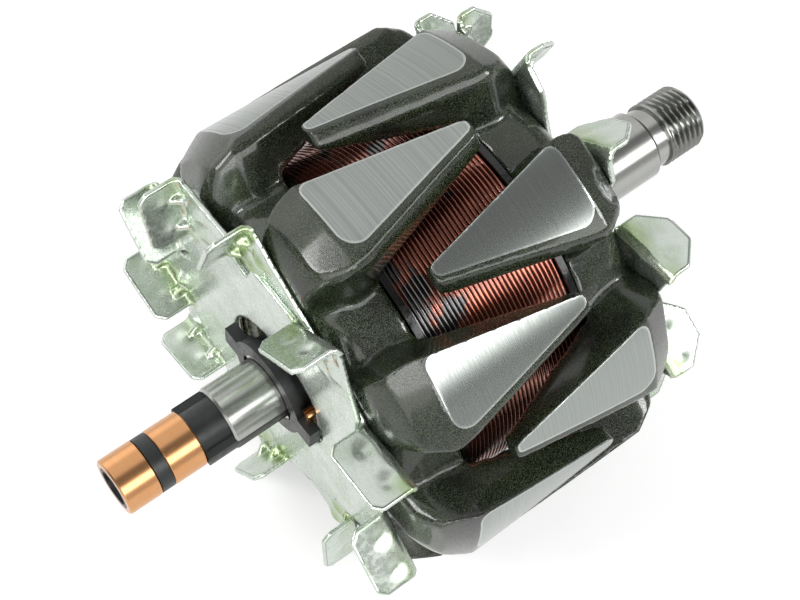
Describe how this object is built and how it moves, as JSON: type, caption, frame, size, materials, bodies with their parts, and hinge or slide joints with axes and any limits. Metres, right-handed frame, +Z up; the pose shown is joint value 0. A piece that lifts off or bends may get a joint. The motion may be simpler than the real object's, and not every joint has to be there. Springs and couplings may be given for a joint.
{
  "type": "claw-pole alternator rotor",
  "caption": "Claw-pole alternator rotor: two interleaved claw poles round a field winding, with pressed fans, slip rings and a threaded shaft end.",
  "frame": {"origin": "on the shaft's axis, where the drive-end bearing seat begins at its inner end", "axes": "+X along the shaft toward the threaded drive end, +Z up; the rotor is round about X, so up is the pose in the picture"},
  "size_m": [0.1596, 0.108, 0.108],
  "materials": {
    "ground_steel": "ground",
    "varnished_iron": "dark varnish, machined bare on the claw faces",
    "plated_steel": "zinc plated",
    "copper": "bare copper",
    "black_plastic": "moulded",
    "sleeve": "woven and varnished"
  },
  "bodies": {
    "root": {"shaft": "ground_steel", "rear_claw_pole": "varnished_iron", "drive_claw_pole": "varnished_iron", "bobbin": "black_plastic", "field_winding": "copper", "outer_slip_ring": "copper", "inner_slip_ring": "copper", "slip_ring_moulding": "black_plastic", "collar": "black_plastic", "rear_fan_inner_plate": "plated_steel", "rear_fan_outer_plate": "plated_steel", "drive_fan": "plated_steel", "front_lead_bar": "black_plastic", "front_terminal": "copper", "front_lead": "copper", "front_lead_sleeve": "sleeve", "back_lead_bar": "black_plastic", "back_terminal": "copper", "back_lead": "copper", "back_lead_sleeve": "sleeve"}
  },
  "joints": []
}
